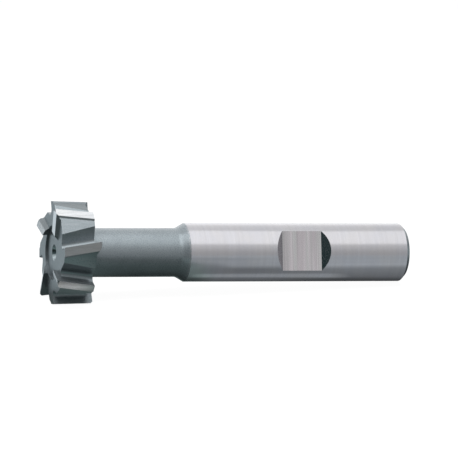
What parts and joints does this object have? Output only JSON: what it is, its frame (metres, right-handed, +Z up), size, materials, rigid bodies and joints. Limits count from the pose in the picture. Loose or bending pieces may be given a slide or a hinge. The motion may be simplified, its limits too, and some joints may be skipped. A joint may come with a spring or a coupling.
{
  "type": "t-slot cutter",
  "caption": "Staggered-tooth T-slot milling cutter with slim neck, cone and plain shank with a clamping flat, lying at rest.",
  "frame": {"origin": "centre of the box's base, on the surface that the lying tool rests on", "axes": "+X along the tool from the toothed head to the shank's rear end (the axis slopes down by about 3 degrees towards the rear), +Z up, -Y the side with the clamping flat"},
  "size_m": [0.077, 0.0206, 0.0205],
  "materials": {
    "tool_steel": "ground shank and tooth edges, blue-grey steam-tempered head and neck"
  },
  "bodies": {
    "root": {"t_slot_cutter": "tool_steel"}
  },
  "joints": []
}
